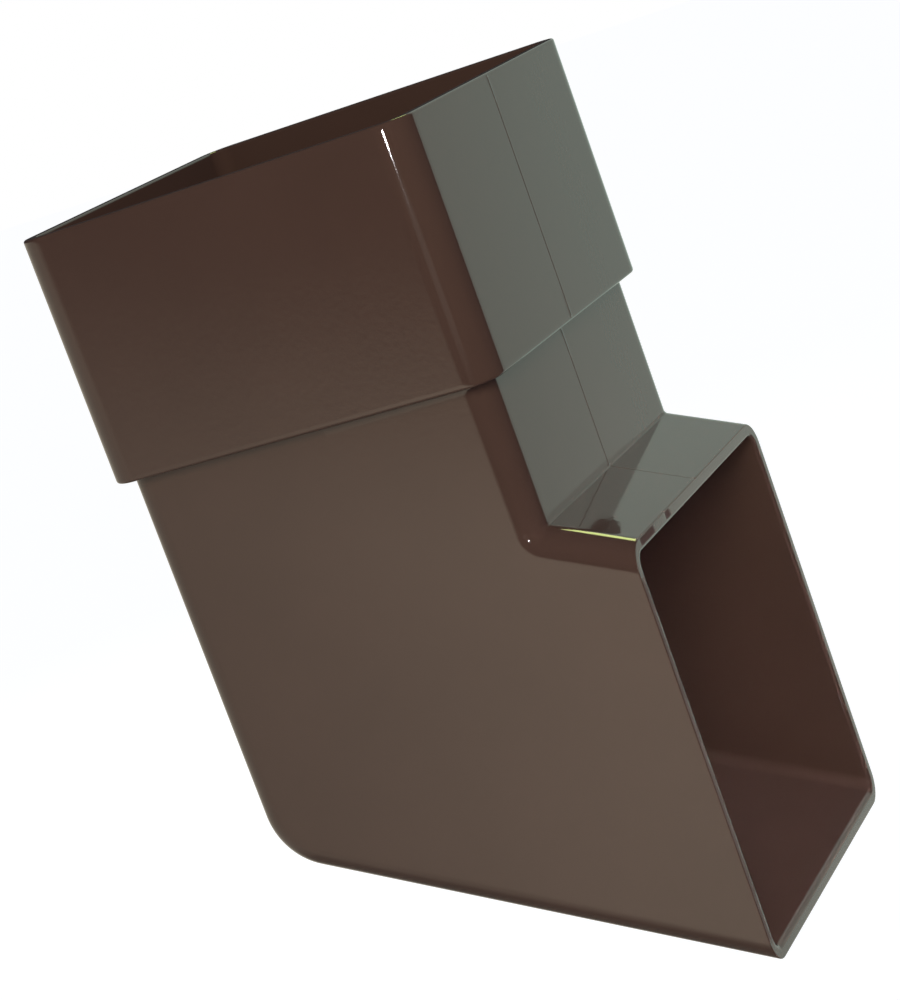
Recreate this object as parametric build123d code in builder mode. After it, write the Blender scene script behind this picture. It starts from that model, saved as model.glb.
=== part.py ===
"""Square downpipe shoe, moulded in one piece.

The socket at the top slides up over the end of a square downpipe. Below it the body
is a square tube that turns forward and opens in a vertical outlet over the drain.
Millimetres. The origin is at the middle of the pipe stop, on the axis of the
downpipe; +Z runs up the pipe and +X points out of the outlet.
"""
import os
from math import cos, radians, tan

from build123d import *

# Socket
pipe_width = 65.0  # outside width of the square downpipe
pipe_clearance = 0.5  # gap on each side between the pipe and the socket
socket_wall = 2.2
socket_depth = 39.0  # from the pipe stop up to the mouth
socket_corner = 5.0  # outside radius of the upright corners
stop_thickness = 2.2  # floor of the socket, which the pipe stands on
step_round = 0.5  # lower outside edge of the socket
step_fillet = 0.5  # inside corner under the step, where the body starts
mouth_outer_round = 0.4
mouth_inner_round = 0.4

# Body
step_in = 2.45  # how far the outside steps in below the socket, on each side
body_wall = 2.0
body_corner = 4.0  # outside radius of the corners along the body
front_height = 24.4  # front wall, from the step down to the slope
slope_angle = 22.5  # fall of the outlet leg, in degrees
leg_depth = 65.2  # outlet leg from top to bottom, measured square to its slope
lip_length = 13.2  # how far the outlet stands ahead of the front wall
heel_radius = 11.2  # outside of the bend at the back
throat_radius = 0.6  # outside of the bend at the front
outlet_outer_round = 0.2
outlet_inner_round = 0.7

# Smallest radius that an inside corner is moulded with
least_corner = 0.5

# Sizes that follow from those above
bore_width = pipe_width + 2 * pipe_clearance
socket_width = bore_width + 2 * socket_wall
body_width = socket_width - 2 * step_in
half_body = body_width / 2
outlet_x = half_body + lip_length
fall = tan(radians(slope_angle))
leg_height = leg_depth / cos(radians(slope_angle))
throat_z = -stop_thickness - front_height
lip_top_z = throat_z - lip_length * fall
lip_bottom_z = lip_top_z - leg_height


def body_block(inset, overrun):
    """The solid bounded by the body's outside, moved inward by inset.

    With no inset it is the body's outside; with the wall as its inset it is the
    space inside. It runs past the pipe stop and the outlet by overrun.
    """
    shift = inset / cos(radians(slope_angle))
    front_x = half_body - inset
    back_x = -front_x
    end_x = outlet_x + overrun
    corner = max(body_corner - inset, least_corner)

    with BuildPart() as block:
        with BuildSketch(Plane.XZ):
            with BuildLine():
                back_top = (back_x, overrun)
                front_top = (front_x, overrun)
                throat = (front_x, throat_z - shift + inset * fall)
                end_top = (end_x, lip_top_z - shift - overrun * fall)
                end_bottom = (end_x, lip_bottom_z + shift - overrun * fall)
                heel = (back_x, lip_bottom_z + shift + (outlet_x - back_x) * fall)
                Polyline(back_top, front_top, throat, end_top, end_bottom, heel, close=True)
            make_face()
            heel_corner = vertices().sort_by_distance(heel)[0]
            fillet(heel_corner, radius=max(heel_radius - inset, least_corner))
            throat_corner = vertices().sort_by_distance(throat)[0]
            fillet(throat_corner, radius=throat_radius + inset)
        extrude(amount=half_body - inset, both=True)

        top = faces().sort_by(Axis.Z)[-1]
        end = faces().sort_by(Axis.X)[-1]
        long_edges = faces().filter_by(Axis.Y).edges() - top.edges() - end.edges()
        fillet(long_edges, radius=corner)
    return block.part


# Socket, from its rounded step up to the mouth
with BuildPart() as socket:
    with BuildSketch(Plane.XY.offset(-stop_thickness)):
        RectangleRounded(socket_width, socket_width, socket_corner)
    extrude(amount=stop_thickness + socket_depth)
    fillet(faces().sort_by(Axis.Z)[0].edges(), radius=step_round)

# Shoe: socket and body in one, hollowed by the pipe's bore and the space below it
body_outside = body_block(inset=0, overrun=0)
body_space = body_block(inset=body_wall, overrun=body_wall)

with BuildPart() as downpipe_shoe:
    add(socket.part)
    add(body_outside)
    with BuildSketch():
        RectangleRounded(bore_width, bore_width, max(socket_corner - socket_wall, least_corner))
    extrude(amount=socket_depth, mode=Mode.SUBTRACT)
    add(body_space, mode=Mode.SUBTRACT)

    step = faces().filter_by_position(Axis.Z, -stop_thickness, -stop_thickness)[0]
    fillet(step.inner_wires()[0].edges(), radius=step_fillet)

    mouth = faces().sort_by(Axis.Z)[-1]
    fillet(mouth.outer_wire().edges(), radius=mouth_outer_round)
    mouth = faces().sort_by(Axis.Z)[-1]
    fillet(mouth.inner_wires()[0].edges(), radius=mouth_inner_round)

    outlet = faces().sort_by(Axis.X)[-1]
    fillet(outlet.outer_wire().edges(), radius=outlet_outer_round)
    outlet = faces().sort_by(Axis.X)[-1]
    fillet(outlet.inner_wires()[0].edges(), radius=outlet_inner_round)

downpipe_shoe.part.label = "downpipe_shoe"

os.makedirs("parts", exist_ok=True)
export_step(downpipe_shoe.part, "parts/downpipe_shoe.step")
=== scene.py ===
"""Looks of the square downpipe shoe: its moulded skin, its marks, the studio and the camera.

The skin is one closed mesh, lofted from rings that follow the same sizes as the solid.
Lengths below are in millimetres, and MM turns them into metres where Blender needs them.
"""

import math

import bpy
from mathutils import Matrix, Vector, noise


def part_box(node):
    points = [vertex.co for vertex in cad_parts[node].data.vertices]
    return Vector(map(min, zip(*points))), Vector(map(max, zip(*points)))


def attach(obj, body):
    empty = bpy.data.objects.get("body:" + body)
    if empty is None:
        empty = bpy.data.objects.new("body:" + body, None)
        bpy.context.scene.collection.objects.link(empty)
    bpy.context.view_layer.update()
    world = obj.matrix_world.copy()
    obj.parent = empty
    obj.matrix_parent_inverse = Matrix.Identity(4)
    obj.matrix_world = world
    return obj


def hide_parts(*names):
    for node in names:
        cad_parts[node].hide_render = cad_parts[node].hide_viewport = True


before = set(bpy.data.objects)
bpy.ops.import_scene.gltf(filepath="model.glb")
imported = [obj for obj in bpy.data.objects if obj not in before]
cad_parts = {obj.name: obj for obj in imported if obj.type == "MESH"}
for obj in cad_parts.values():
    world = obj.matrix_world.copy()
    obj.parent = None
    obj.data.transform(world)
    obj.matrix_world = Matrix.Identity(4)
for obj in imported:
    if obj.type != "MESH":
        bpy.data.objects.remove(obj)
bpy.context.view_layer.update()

MM = 0.001
NODE = "downpipe_shoe"

# Sizes read from the frame
box_low, box_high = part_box(NODE)
SOCKET_HALF = box_high.y / MM
MOUTH_Z = box_high.z / MM
OUTLET_X = box_high.x / MM
LIP_BOTTOM_Z = box_low.z / MM

# Sizes of the moulding
SOCKET_WALL = 2.2
SOCKET_CORNER = 5.0
STOP_THICKNESS = 2.2
STEP_ROUND = 0.5
STEP_FILLET = 0.5
MOUTH_OUTER_ROUND = 0.4
MOUTH_INNER_ROUND = 0.4
STEP_IN = 2.45
BODY_WALL = 2.0
BODY_CORNER = 4.0
FRONT_HEIGHT = 24.4
SLOPE = math.radians(22.5)
HEEL_RADIUS = 11.2
THROAT_RADIUS = 0.6
OUTLET_OUTER_ROUND = 0.2
OUTLET_INNER_ROUND = 0.7

BODY_HALF = SOCKET_HALF - STEP_IN
BORE_HALF = SOCKET_HALF - SOCKET_WALL
STEP_Z = -STOP_THICKNESS
THROAT_Z = STEP_Z - FRONT_HEIGHT

# Parting line where the halves of the mould met, along the middle of the outside: its half
# width, and its height on the front and on the back. On the socket's back and on top of the
# leg it is a hairline groove, which has a height below 0
PARTING_HALF_WIDTH = 0.06
SOCKET_PARTING = (0.05, -0.03)
BODY_PARTING = (0.05, 0.05)
LEG_PARTING = (-0.05, 0.03)

# How near the parting line comes to the ends of the socket's side, and to the top of the
# body, as a share of their heights
SOCKET_PARTING_MARGIN = 0.012
BODY_PARTING_MARGIN = 0.03

# Places on the outlet's end face that were trimmed with a knife, with the length over which
# their ends ease and their depth. Along the top rim they run from and to in Y, between two
# shares of the rim's width, and that rim lies less than TOP_RIM_HEIGHT below the throat;
# down the near rim the one place runs from and to in Z
TOP_TRIMS = ((-28.6, -21.7), (-16.2, -13.6))
TOP_TRIM_EASE = 0.7
TOP_TRIM_DEPTH = 0.04
TOP_TRIM_SHARES = (0.2, 0.8)
TOP_RIM_HEIGHT = 10.0
SIDE_TRIM = (-99.0, -36.5)
SIDE_TRIM_EASE = 2.0
SIDE_TRIM_DEPTH = 0.12

# Burr left along the inner edge of the trimmed near rim: its width, the length of its waves
# and the number of rings that it bends
BURR_WIDTH = 0.2
BURR_LENGTH = 0.9
BURR_RINGS = 3

# Fineness of the skin: steps round an edge, round the bend and along each straight part,
# where the rings of the end face stand across the rim, and the least angle of a sharp edge
ROUND_STEPS = 6
BEND_STEPS = 18
SOCKET_STEPS = 8
BODY_STEPS = 4
LEG_STEPS = 5
BORE_STEPS = 4
INNER_MOUTH_STEPS = 4
RIM_SHARES = (0.08, 0.3, 0.5, 0.7, 0.92)
SHARP_ANGLE = math.radians(35)


def even(count):
    """Shares from 0 to 1 in equal steps."""
    return [i / count for i in range(count + 1)]


def quarter(steps):
    """Shares (inward, along) of a quarter circle, after its start and up to its end."""
    turns = [0.5 * math.pi * share for share in even(steps)[1:]]
    return [(1 - math.cos(t), math.sin(t)) for t in turns]


class Loop:
    """One closed run of points round the shoe, the same number for every loop.

    front and back are the points of the section in the plane of symmetry, each with its
    outward normal; half is the half width across Y and corner the radius of its corners.
    parting is the height of the parting line on the front and on the back.
    """

    ARC_STEPS = 14
    FACE_STEPS = 44
    SIDE_STEPS = 150

    def __init__(self, front, front_normal, back, back_normal, half, corner, parting=(0, 0)):
        self.front = Vector(front)
        self.front_normal = Vector(front_normal).normalized()
        self.back = Vector(back)
        self.back_normal = Vector(back_normal).normalized()
        self.half = half
        self.corner = corner
        self.parting = parting

    def face(self, point, normal, parting):
        """Points across half of a front or back face, from the middle to the corner."""
        top = point + normal * parting
        run = self.half - self.corner - PARTING_HALF_WIDTH
        stops = [PARTING_HALF_WIDTH + run * share for share in even(self.FACE_STEPS)]
        return [Vector((top.x, 0, top.y))] + [Vector((point.x, y, point.y)) for y in stops]

    def arc(self, point, normal):
        """Points round a corner, after its start on the face and up to its end on the side."""
        spots = []
        for inward, along in quarter(self.ARC_STEPS):
            p = point - normal * self.corner * inward
            spots.append(Vector((p.x, self.half - self.corner + self.corner * along, p.y)))
        return spots

    def half_points(self):
        """Points from the middle of the front round the +Y side to the middle of the back."""
        front_face = self.face(self.front, self.front_normal, self.parting[0])
        front_arc = self.arc(self.front, self.front_normal)
        back_face = self.face(self.back, self.back_normal, self.parting[1])
        back_arc = self.arc(self.back, self.back_normal)
        start, end = front_arc[-1], back_arc[-1]
        side = [start.lerp(end, share) for share in even(self.SIDE_STEPS)[1:-1]]
        return front_face + front_arc + side + back_arc[::-1] + back_face[::-1]

    def points(self):
        """The whole loop: the +Y half and its mirror image."""
        near = self.half_points()
        far = [Vector((p.x, -p.y, p.z)) for p in near[-2:0:-1]]
        return near + far


def square_loop(z, half, corner, parting=(0, 0)):
    """A level loop, as wide from front to back as it is across."""
    return Loop((half, z), (1, 0), (-half, z), (-1, 0), half, corner, parting)


def body_loop(turn, inset, parting=(0, 0)):
    """A loop in the body's bend: turn is 0 at the upright end and 1 at the sloping end."""
    angle = math.pi + turn * (0.5 * math.pi - SLOPE)
    spoke = Vector((math.cos(angle), math.sin(angle)))
    throat_rise = THROAT_RADIUS * (1 - math.sin(SLOPE))
    throat_centre = Vector((BODY_HALF + THROAT_RADIUS, THROAT_Z + throat_rise / math.cos(SLOPE)))
    heel_x = -BODY_HALF + HEEL_RADIUS
    heel_rise = HEEL_RADIUS + (OUTLET_X - heel_x) * math.sin(SLOPE)
    heel_centre = Vector((heel_x, LIP_BOTTOM_Z + heel_rise / math.cos(SLOPE)))
    front = throat_centre + spoke * (THROAT_RADIUS + inset)
    back = heel_centre + spoke * (HEEL_RADIUS - inset)
    return Loop(front, -spoke, back, spoke, BODY_HALF - inset, BODY_CORNER - inset, parting)


def upright_body_loop(share, top_z, inset, parting=(0, 0)):
    """A loop in the body's upright part: share is 0 at top_z and 1 where the bend starts."""
    loop = body_loop(0, inset, parting)
    loop.front.y = top_z + (loop.front.y - top_z) * share
    loop.back.y = top_z + (loop.back.y - top_z) * share
    return loop


def socket_outside():
    """Loops down the socket's outside: the mouth's edge, the side and the rounded step."""
    loops = []
    for inward, along in reversed([(0, 0)] + quarter(ROUND_STEPS)):
        inset = MOUTH_OUTER_ROUND * inward
        z = MOUTH_Z - MOUTH_OUTER_ROUND * (1 - along)
        loops.append(square_loop(z, SOCKET_HALF - inset, SOCKET_CORNER - inset))
    top = MOUTH_Z - MOUTH_OUTER_ROUND
    bottom = STEP_Z + STEP_ROUND
    shares = [SOCKET_PARTING_MARGIN] + even(SOCKET_STEPS)[1:-1] + [1 - SOCKET_PARTING_MARGIN]
    for share in shares:
        z = top + (bottom - top) * share
        loops.append(square_loop(z, SOCKET_HALF, SOCKET_CORNER, SOCKET_PARTING))
    for inward, along in [(0, 0)] + quarter(ROUND_STEPS):
        inset = STEP_ROUND * inward
        z = bottom - STEP_ROUND * along
        loops.append(square_loop(z, SOCKET_HALF - inset, SOCKET_CORNER - inset))
    return loops


def step_underside():
    """Loops across the underside of the step and down the fillet that leads to the body."""
    loops = []
    for drop, inward in [(0, 0)] + quarter(ROUND_STEPS):
        offset = STEP_FILLET * (1 - inward)
        z = STEP_Z - STEP_FILLET * drop
        loops.append(square_loop(z, BODY_HALF + offset, BODY_CORNER + offset))
    return loops


def body_outside():
    """Loops down the body's outside and round its bend, where the parting line changes."""
    top = STEP_Z - STEP_FILLET
    shares = [BODY_PARTING_MARGIN] + even(BODY_STEPS)[1:-1]
    loops = [upright_body_loop(share, top, 0, BODY_PARTING) for share in shares]
    for turn in even(BEND_STEPS):
        parting = [a + (b - a) * turn for a, b in zip(BODY_PARTING, LEG_PARTING)]
        loops.append(body_loop(turn, 0, parting))
    return loops


def body_inside():
    """Loops inside the body, from the leg back round the bend and up to the pipe stop."""
    loops = [body_loop(turn, BODY_WALL) for turn in reversed(even(BEND_STEPS))]
    for share in reversed(even(BODY_STEPS)[:-1]):
        loops.append(upright_body_loop(share, 0, BODY_WALL))
    return loops


def socket_inside():
    """Loops from the pipe stop up the bore and round the mouth's inside edge."""
    corner = SOCKET_CORNER - SOCKET_WALL
    top = MOUTH_Z - MOUTH_INNER_ROUND
    loops = [square_loop(top * share, BORE_HALF, corner) for share in even(BORE_STEPS)]
    for inward, along in quarter(INNER_MOUTH_STEPS):
        grow = MOUTH_INNER_ROUND * inward
        z = top + MOUTH_INNER_ROUND * along
        loops.append(square_loop(z, BORE_HALF + grow, corner + grow))
    return loops


def leg_rings(inset, edge_round, parting=(0, 0)):
    """Rings from the end of the bend down the leg, the last ones round the outlet's edge.

    The edge is a curve that starts edge_round before the outlet's plane and ends in that
    plane, as far in from the edge.
    """
    start = body_loop(1, inset, parting).points()
    leg = Vector((math.cos(SLOPE), 0, -math.sin(SLOPE)))
    ends = [p + leg * ((OUTLET_X - p.x) / leg.x) for p in start]
    shares = even(LEG_STEPS)[1:-1]
    rings = [[p.lerp(q, share) for p, q in zip(start, ends)] for share in shares]
    into_wall = 1 if inset == 0 else -1
    inward = []
    for i in range(len(ends)):
        along = ends[(i + 1) % len(ends)] - ends[i - 1]
        inward.append(Vector((0, along.z, -along.y)).normalized() * into_wall)
    for t in even(ROUND_STEPS):
        ring = []
        for end, into in zip(ends, inward):
            a = end - leg * edge_round
            b = end + into * edge_round
            ring.append(a * (1 - t) ** 2 + end * 2 * t * (1 - t) + b * t * t)
        rings.append(ring)
    return rings


def between(value, start, end, ease):
    """1 between start and end, easing to 0 over the given length inside both of them."""
    inside = min(value - start, end - value) / ease
    share = min(max(inside, 0.0), 1.0)
    return share * share * (3 - 2 * share)


def side_trim(p):
    """How far the near rim is trimmed at a point: 0 or up to 1."""
    on_near_rim = p.y < -BODY_HALF + BODY_CORNER
    return between(p.z, *SIDE_TRIM, SIDE_TRIM_EASE) if on_near_rim else 0.0


def top_trim(p):
    """How far the top rim is trimmed at a point: 0 or up to 1."""
    if p.z < THROAT_Z - TOP_RIM_HEIGHT:
        return 0.0
    return sum(between(p.y, start, end, TOP_TRIM_EASE) for start, end in TOP_TRIMS)


def end_face_rings(outer, inner):
    """Rings across the outlet's end face, lower where it was trimmed."""
    knife_start, knife_end = TOP_TRIM_SHARES
    rings = []
    for share in RIM_SHARES:
        ring = []
        for a, b in zip(outer, inner):
            p = a.lerp(b, share)
            if knife_start < share < knife_end:
                p.x -= TOP_TRIM_DEPTH * top_trim(p)
            p.x = min(p.x, OUTLET_X - SIDE_TRIM_DEPTH * side_trim(p))
            ring.append(p)
        rings.append(ring)
    return rings


def wear_edge(ring):
    """Move a ring of the outlet's inner edge unevenly along the trimmed rim, as a burr.

    The wave is at most 1 and about a half on average.
    """
    for p in ring:
        wave = min(0.5 + noise.noise(Vector((0, p.y, p.z)) / BURR_LENGTH), 1.0)
        p.x -= SIDE_TRIM_DEPTH * (1 - wave) * side_trim(p)
        p.y -= BURR_WIDTH * (wave - 0.5) * side_trim(p)


def shell_rings():
    """All rings of the skin, from the mouth down the outside and back up the inside.

    Also gives the numbers of the rings that lie on the outlet's end face.
    """
    leg_outside = leg_rings(0, OUTLET_OUTER_ROUND, LEG_PARTING)
    leg_inside = leg_rings(BODY_WALL, OUTLET_INNER_ROUND)
    for ring in leg_inside[-BURR_RINGS:]:
        wear_edge(ring)
    outside = socket_outside() + step_underside() + body_outside()
    inside = body_inside() + socket_inside()
    down = [loop.points() for loop in outside] + leg_outside
    end_face = end_face_rings(leg_outside[-1], leg_inside[-1])
    up = leg_inside[::-1] + [loop.points() for loop in inside]
    return down + end_face + up, range(len(down), len(down) + len(end_face))


def loft(ring_count, point_count):
    """Quads between each ring and the next, and from the last ring back to the first."""
    faces = []
    for k in range(ring_count):
        here = k * point_count
        there = (k + 1) % ring_count * point_count
        for i in range(point_count):
            j = (i + 1) % point_count
            faces.append((here + i, here + j, there + j, there + i))
    return faces


def store(mesh, name, values):
    """Keep a value for some of the mesh's points, given by their numbers; the rest have 0."""
    data = mesh.attributes.new(name, "FLOAT", "POINT").data
    for i, value in values.items():
        data[i].value = value


def build_shell():
    """The closed skin of the shoe as one mesh object, with its trimmed places marked."""
    rings, end_face = shell_rings()
    count = len(rings[0])
    spots = [p for ring in rings for p in ring]
    mesh = bpy.data.meshes.new("moulded_shell")
    mesh.from_pydata([p * MM for p in spots], [], loft(len(rings), count))
    mesh.update()
    for polygon in mesh.polygons:
        polygon.use_smooth = True
    mesh.set_sharp_from_angle(angle=SHARP_ANGLE)

    ends = {i: spots[i] for i in range(end_face.start * count, end_face.stop * count)}
    store(mesh, "trimmed", {i: max(top_trim(p), side_trim(p)) for i, p in ends.items()})
    store(mesh, "torn", {i: side_trim(p) for i, p in ends.items()})

    shell = bpy.data.objects.new("moulded_shell", mesh)
    bpy.context.scene.collection.objects.link(shell)
    weighted = shell.modifiers.new("weighted_normals", "WEIGHTED_NORMAL")
    weighted.keep_sharp = True
    return shell


class Tree:
    """The nodes of a material or of the world, with a short way to add each kind used here."""

    # Numbers of the inputs A and B and of the result, for each kind of mix
    MIX_SOCKETS = {"FLOAT": (2, 3, 0), "RGBA": (6, 7, 2)}

    def __init__(self, owner):
        owner.use_nodes = True
        self.nodes = owner.node_tree.nodes
        self.links = owner.node_tree.links

    def feed(self, socket, value):
        """Give a socket a value of its own, or link another node's output to it."""
        if isinstance(value, bpy.types.NodeSocket):
            self.links.new(value, socket)
        else:
            socket.default_value = value

    def node(self, kind, inputs=None):
        """A new node, with some of its inputs fed by name or number."""
        node = self.nodes.new(kind)
        for key, value in (inputs or {}).items():
            self.feed(node.inputs[key], value)
        return node

    def maths(self, operation, a, b):
        """The result of an operation on two numbers."""
        node = self.node("ShaderNodeMath", {0: a, 1: b})
        node.operation = operation
        return node.outputs[0]

    def product(self, *numbers):
        """All the numbers multiplied."""
        result = numbers[0]
        for number in numbers[1:]:
            result = self.maths("MULTIPLY", result, number)
        return result

    def fade(self, value, start, end, low=0.0, high=1.0, curve="SMOOTHSTEP"):
        """low up to start, high from end on, and a fade between them."""
        node = self.node("ShaderNodeMapRange", {
            "Value": value, "From Min": start, "From Max": end, "To Min": low, "To Max": high,
        })
        node.interpolation_type = curve
        return node.outputs["Result"]

    def mixed(self, kind, factor, a, b):
        """A mix of two numbers, kind FLOAT, or of two colours, kind RGBA."""
        node = self.node("ShaderNodeMix", {0: factor})
        node.data_type = kind
        a_number, b_number, result = self.MIX_SOCKETS[kind]
        self.feed(node.inputs[a_number], a)
        self.feed(node.inputs[b_number], b)
        return node.outputs[result]

    def grain(self, place, scale, detail):
        """A noise that varies with place."""
        node = self.node("ShaderNodeTexNoise", {"Vector": place, "Scale": scale, "Detail": detail})
        return node.outputs["Fac"]

    def stored(self, name):
        """The value that the mesh keeps for its points under a name."""
        node = self.node("ShaderNodeAttribute")
        node.attribute_name = name
        return node.outputs["Fac"]

    def blend(self, factor, a, b):
        """A mix of two shaders."""
        return self.node("ShaderNodeMixShader", {0: factor, 1: a, 2: b}).outputs[0]

    def together(self, *shaders):
        """The light of all the shaders added up."""
        result = shaders[0]
        for shader in shaders[1:]:
            result = self.node("ShaderNodeAddShader", {0: result, 1: shader}).outputs[0]
        return result


# Plastic: two browns that differ a little, and a paler one where it is torn
PLASTIC_DARK = (0.093, 0.047, 0.0345, 1)
PLASTIC_LIGHT = (0.101, 0.051, 0.0375, 1)
TORN_COLOUR = (0.15, 0.105, 0.08, 1)

# Its gloss: how rough it is, from and to, and where it was trimmed
PLASTIC_IOR = 1.54
ROUGHNESS = (0.035, 0.055)
TRIMMED_ROUGHNESS = 0.9

# Scale and detail of the noises in its colour, its gloss and its orange peel, the values
# between which the first two are spread out, and the height of the peel
COLOUR_GRAIN = (45.0, 4.0)
GLOSS_GRAIN = (120.0, 3.0)
PEEL_GRAIN = (1100.0, 1.0)
GRAIN_RANGE = (0.3, 0.7)
PEEL_HEIGHT = 0.005


def plastic():
    """Brown moulded plastic: glossy, faintly uneven, and dull where it was trimmed."""
    material = bpy.data.materials.new("brown_pvcu")
    tree = Tree(material)
    shader = tree.nodes["Principled BSDF"]
    place = tree.node("ShaderNodeTexCoord").outputs["Object"]

    # Colour: faint clouding in the plastic, paler where the knife tore it
    clouds = tree.fade(tree.grain(place, *COLOUR_GRAIN), *GRAIN_RANGE, curve="LINEAR")
    colour = tree.mixed("RGBA", clouds, PLASTIC_DARK, PLASTIC_LIGHT)
    colour = tree.mixed("RGBA", tree.stored("torn"), colour, TORN_COLOUR)

    # Gloss: a polished mould, a little uneven
    gloss = tree.fade(tree.grain(place, *GLOSS_GRAIN), *GRAIN_RANGE, *ROUGHNESS, curve="LINEAR")
    gloss = tree.mixed("FLOAT", tree.stored("trimmed"), gloss, TRIMMED_ROUGHNESS)

    # Skin: fine orange peel
    height = tree.grain(place, *PEEL_GRAIN)
    peel = tree.node("ShaderNodeBump", {"Distance": PEEL_HEIGHT * MM, "Height": height})
    peel.inputs["Strength"].default_value = 1.0

    shader.inputs["IOR"].default_value = PLASTIC_IOR
    tree.feed(shader.inputs["Base Color"], colour)
    tree.feed(shader.inputs["Roughness"], gloss)
    tree.feed(shader.inputs["Normal"], peel.outputs["Normal"])
    return material


# Studio that the plastic mirrors, by direction in the frame. An azimuth is in degrees from +X
# towards +Y. A fade is a start, an end and the levels at them, which are 0 and 1 if left out;
# its start and end say how far a ray points past an upright plane at an azimuth, how far up
# it points, or how nearly it points in a direction, all as a share of its length

# Bright backdrop beyond the far side, which the front, the slope and the rims mirror. It is
# a little brighter past its turn and a little dimmer further up
BACKDROP_AZIMUTH = (56.5, 108.0)
BACKDROP_START = (-0.01, 0.02)
BACKDROP_END = (-0.02, 0.06)
BACKDROP_TOP = (0.66, 0.58)
BACKDROP_LEVEL = 0.74
BACKDROP_FALLOFF = (-0.1, 0.45, BACKDROP_LEVEL, 0.88 * BACKDROP_LEVEL)
BACKDROP_TURN_AZIMUTH = 62.0
BACKDROP_TURN = (0.0, 0.13, 0.86, 1.14)
BACKDROP_TINT = (0.81, 1.0, 0.87)

# Table under the shoe as it stands in the photograph, which the near side mirrors. It is
# dimmer steeply below, and brighter past its turn
TABLE_UP = (math.sin(SLOPE), 0, math.cos(SLOPE))
TABLE_LEVEL = 1.0
TABLE_EDGE = (-0.25, -0.37, 0.0, TABLE_LEVEL)
TABLE_START_AZIMUTH = 100.0
TABLE_START = (0.0, 0.1)
TABLE_BELOW = (-0.75, -0.45, 0.25, 1.0)
TABLE_TURN_AZIMUTH = 241.0
TABLE_TURN = (-0.09, 0.09, 0.66, 1.22)
TABLE_TINT = (1.0, 0.9, 0.7)

# Small yellow lamp high on the far side, which gleams along the leg's upper corner
LAMP_DIRECTION = (-0.063, 0.68, 0.731)
LAMP_LEVEL = 8.0
LAMP_EDGE = (0.985, 0.993, 0.0, LAMP_LEVEL)
LAMP_TINT = (0.85, 1.0, 0.35)

# Pale strip a little below the level on the near side
STRIP_AZIMUTH = (269.0, 295.0)
STRIP_SIDE = (0.0, 0.1)
STRIP_LEVEL = 0.26
STRIP_BOTTOM = (-0.165, -0.13, 0.0, STRIP_LEVEL)
STRIP_TOP = (-0.06, -0.1)
STRIP_TINT = (1.0, 1.0, 0.9)

# Dim room all round in reflections, and the soft light that falls on the plastic
ROOM_LEVEL = 0.035
ROOM_TINT = (1.0, 1.0, 1.0)
FILL_LEVEL = 0.185
FILL_TINT = (0.8, 1.0, 1.5)

# What the camera sees behind the shoe: white
WHITE = (1.0, 1.0, 1.0)
WHITE_LEVEL = 1.0


class Sky(Tree):
    """The world's nodes, with a short way to say where a form of the studio lies."""

    def __init__(self, world):
        super().__init__(world)
        self.nodes.clear()
        self.direction = self.node("ShaderNodeTexCoord").outputs["Generated"]
        self.upward = self.facing((0, 0, 1))

    def facing(self, direction):
        """The cosine between a ray and a direction."""
        dot = self.node("ShaderNodeVectorMath")
        dot.operation = "DOT_PRODUCT"
        self.feed(dot.inputs[0], self.direction)
        self.feed(dot.inputs[1], Vector(direction).normalized())
        return dot.outputs["Value"]

    def beyond(self, azimuth, turn):
        """How far a ray points past an upright plane, on the side given by turn."""
        angle = math.radians(azimuth)
        return self.facing((-turn * math.sin(angle), turn * math.cos(angle), 0))

    def glow(self, tint, level):
        """Light of one tint; its level may differ by direction."""
        node = self.node("ShaderNodeBackground", {"Color": (*tint, 1), "Strength": level})
        return node.outputs[0]


def backdrop(sky):
    """The backdrop: upright, between two azimuths and up to its top."""
    start, end = BACKDROP_AZIMUTH
    level = sky.product(
        sky.fade(sky.beyond(start, 1), *BACKDROP_START),
        sky.fade(sky.beyond(end, -1), *BACKDROP_END),
        sky.fade(sky.beyond(BACKDROP_TURN_AZIMUTH, 1), *BACKDROP_TURN),
        sky.fade(sky.upward, *BACKDROP_TOP),
        sky.fade(sky.upward, *BACKDROP_FALLOFF),
    )
    return sky.glow(BACKDROP_TINT, level)


def table(sky):
    """The table: below its own horizon, from one azimuth on."""
    level = sky.product(
        sky.fade(sky.facing(TABLE_UP), *TABLE_EDGE),
        sky.fade(sky.beyond(TABLE_START_AZIMUTH, 1), *TABLE_START),
        sky.fade(sky.upward, *TABLE_BELOW),
        sky.fade(sky.beyond(TABLE_TURN_AZIMUTH, 1), *TABLE_TURN),
    )
    return sky.glow(TABLE_TINT, level)


def yellow_lamp(sky):
    """A round spot in one direction."""
    return sky.glow(LAMP_TINT, sky.fade(sky.facing(LAMP_DIRECTION), *LAMP_EDGE))


def strip(sky):
    """A level strip between two azimuths and two heights."""
    start, end = STRIP_AZIMUTH
    level = sky.product(
        sky.fade(sky.beyond(start, 1), *STRIP_SIDE),
        sky.fade(sky.beyond(end, -1), *STRIP_SIDE),
        sky.fade(sky.upward, *STRIP_BOTTOM),
        sky.fade(sky.upward, *STRIP_TOP),
    )
    return sky.glow(STRIP_TINT, level)


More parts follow.
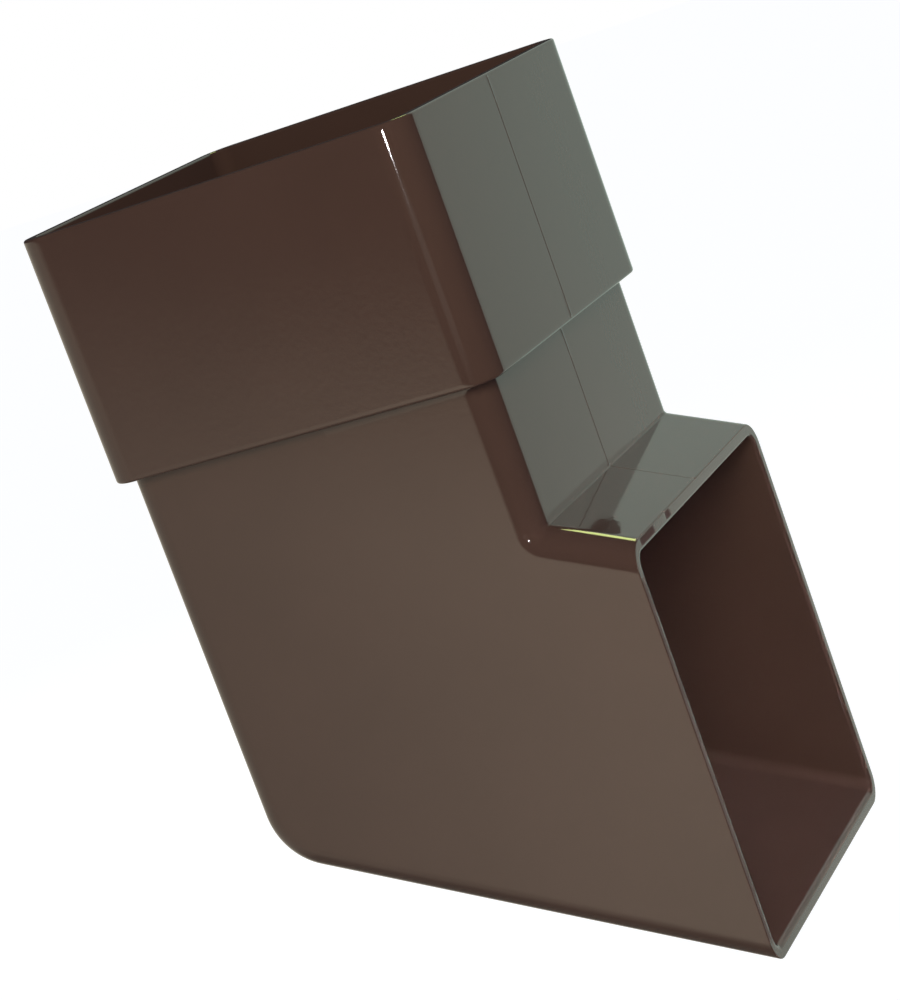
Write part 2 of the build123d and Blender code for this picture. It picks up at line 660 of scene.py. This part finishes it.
def studio():
    """World: white to the camera, a soft fill on the plastic, and the studio in its gloss."""
    world = bpy.data.worlds.new("studio")
    bpy.context.scene.world = world
    sky = Sky(world)
    room = sky.glow(ROOM_TINT, ROOM_LEVEL)
    mirrored = sky.together(backdrop(sky), table(sky), room, yellow_lamp(sky), strip(sky))
    fill = sky.glow(FILL_TINT, FILL_LEVEL)
    seen = sky.glow(WHITE, WHITE_LEVEL)
    ray = sky.node("ShaderNodeLightPath").outputs
    lit = sky.blend(ray["Is Glossy Ray"], fill, mirrored)
    to_camera = sky.maths("MAXIMUM", ray["Is Camera Ray"], ray["Is Transmission Ray"])
    sky.node("ShaderNodeOutputWorld", {"Surface": sky.blend(to_camera, lit, seen)})


# Lamps: place, target and size across and up in millimetres, power in watts and the spread of
# the beam in degrees. The low one shines into the outlet, the back one lights views from
# behind, and the flash is only mirrored, as gleams on the socket's corner and in the throat
LAMPS = {
    "key": dict(
        place=(195, -355, 155), target=(10, 0, 0), size=(200, 200),
        power=0.95, colour=(0.9, 0.94, 0.8),
    ),
    "low": dict(
        place=(425, -75, 0), target=(20, 14, -78), size=(80, 80),
        power=0.021, colour=(0.7, 0.76, 0.9), spread=16,
    ),
    "back": dict(
        place=(-300, 330, 190), target=(0, 0, -20), size=(250, 250),
        power=0.5, colour=(0.85, 0.97, 1.0),
    ),
    "flash": dict(
        place=(127, -475, 7), target=(20, 0, 10), size=(40, 4),
        power=0.2, colour=(1.0, 0.97, 1.0), mirrored=True,
    ),
}


def area_lamp(name, place, target, size, power, colour, spread=180, mirrored=False):
    """A round or oval lamp that is either only mirrored or never mirrored."""
    data = bpy.data.lights.new(name, "AREA")
    data.shape = "DISK" if size[0] == size[1] else "ELLIPSE"
    data.size, data.size_y = [length * MM for length in size]
    data.energy = power
    data.color = colour
    data.spread = math.radians(spread)
    lamp = bpy.data.objects.new(name, data)
    lamp.location = Vector(place) * MM
    lamp.rotation_euler = (Vector(place) - Vector(target)).to_track_quat("Z", "Y").to_euler()
    lamp.visible_glossy = mirrored
    lamp.visible_diffuse = not mirrored
    lamp.visible_camera = False
    bpy.context.scene.collection.objects.link(lamp)


# Floor of white paper: its reach from the middle, how far it lies below the shoe, its colour,
# and how strongly and by what share it glows towards the camera
FLOOR_REACH = 3000.0
FLOOR_DROP = 40.0
PAPER_COLOUR = (0.8, 0.8, 0.8, 1)
PAPER_GLOW = 1.35
PAPER_GLOW_SHARE = 0.7


def floor_paper():
    """White paper that keeps the shoe's shadow, and is clear when seen from below."""
    material = bpy.data.materials.new("floor_paper")
    tree = Tree(material)
    tree.nodes.clear()
    paper = tree.node("ShaderNodeBsdfDiffuse", {"Color": PAPER_COLOUR}).outputs[0]
    white = tree.node("ShaderNodeEmission", {"Strength": PAPER_GLOW}).outputs[0]
    clear = tree.node("ShaderNodeBsdfTransparent").outputs[0]
    to_camera = tree.node("ShaderNodeLightPath").outputs["Is Camera Ray"]
    underside = tree.node("ShaderNodeNewGeometry").outputs["Backfacing"]
    upper = tree.blend(tree.maths("MULTIPLY", to_camera, PAPER_GLOW_SHARE), paper, white)
    tree.node("ShaderNodeOutputMaterial", {"Surface": tree.blend(underside, upper, clear)})
    return material


def floor():
    """A flat sheet under the shoe."""
    reach, z = FLOOR_REACH * MM, box_low.z - FLOOR_DROP * MM
    corners = [(-reach, -reach, z), (reach, -reach, z), (reach, reach, z), (-reach, reach, z)]
    mesh = bpy.data.meshes.new("floor")
    mesh.from_pydata(corners, [], [(0, 1, 2, 3)])
    mesh.materials.append(floor_paper())
    plane = bpy.data.objects.new("floor", mesh)
    bpy.context.scene.collection.objects.link(plane)
    plane.visible_glossy = False


# Camera, fitted to the photograph's straight edges. Its azimuth is from -Y towards +X, and
# nothing nearer than CAMERA_NEAREST is seen
CAMERA_TARGET = Vector((2.89, 1.55, -25.85))
CAMERA_DISTANCE = 469.4
CAMERA_AZIMUTH = math.radians(27.07)
CAMERA_ELEVATION = math.radians(11.09)
CAMERA_ROLL = math.radians(-20.08)
CAMERA_LENS = 101.97
CAMERA_SENSOR = 36.0
CAMERA_NEAREST = 10.0


def camera_axes():
    """The camera's right, up and backward directions."""
    back = Vector((
        math.sin(CAMERA_AZIMUTH) * math.cos(CAMERA_ELEVATION),
        -math.cos(CAMERA_AZIMUTH) * math.cos(CAMERA_ELEVATION),
        math.sin(CAMERA_ELEVATION),
    ))
    level_right = Vector((math.cos(CAMERA_AZIMUTH), math.sin(CAMERA_AZIMUTH), 0))
    level_up = back.cross(level_right)
    right = level_right * math.cos(CAMERA_ROLL) + level_up * math.sin(CAMERA_ROLL)
    up = -level_right * math.sin(CAMERA_ROLL) + level_up * math.cos(CAMERA_ROLL)
    return right, up, back


def add_camera():
    """The camera that sees the shoe as the photograph does."""
    right, up, back = camera_axes()
    place = (CAMERA_TARGET + back * CAMERA_DISTANCE) * MM
    data = bpy.data.cameras.new("camera")
    data.lens = CAMERA_LENS
    data.sensor_width = CAMERA_SENSOR
    data.sensor_fit = "AUTO"
    data.clip_start = CAMERA_NEAREST * MM
    camera = bpy.data.objects.new("camera", data)
    camera.matrix_world = Matrix((
        (right.x, up.x, back.x, place.x),
        (right.y, up.y, back.y, place.y),
        (right.z, up.z, back.z, place.z),
        (0, 0, 0, 1),
    ))
    bpy.context.scene.collection.objects.link(camera)
    bpy.context.scene.camera = camera


shell = build_shell()
shell.data.materials.append(plastic())
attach(shell, "root")
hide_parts(NODE)

floor()
studio()
for lamp_name, settings in LAMPS.items():
    area_lamp(lamp_name, **settings)
add_camera()
bpy.context.scene.view_settings.view_transform = "Standard"
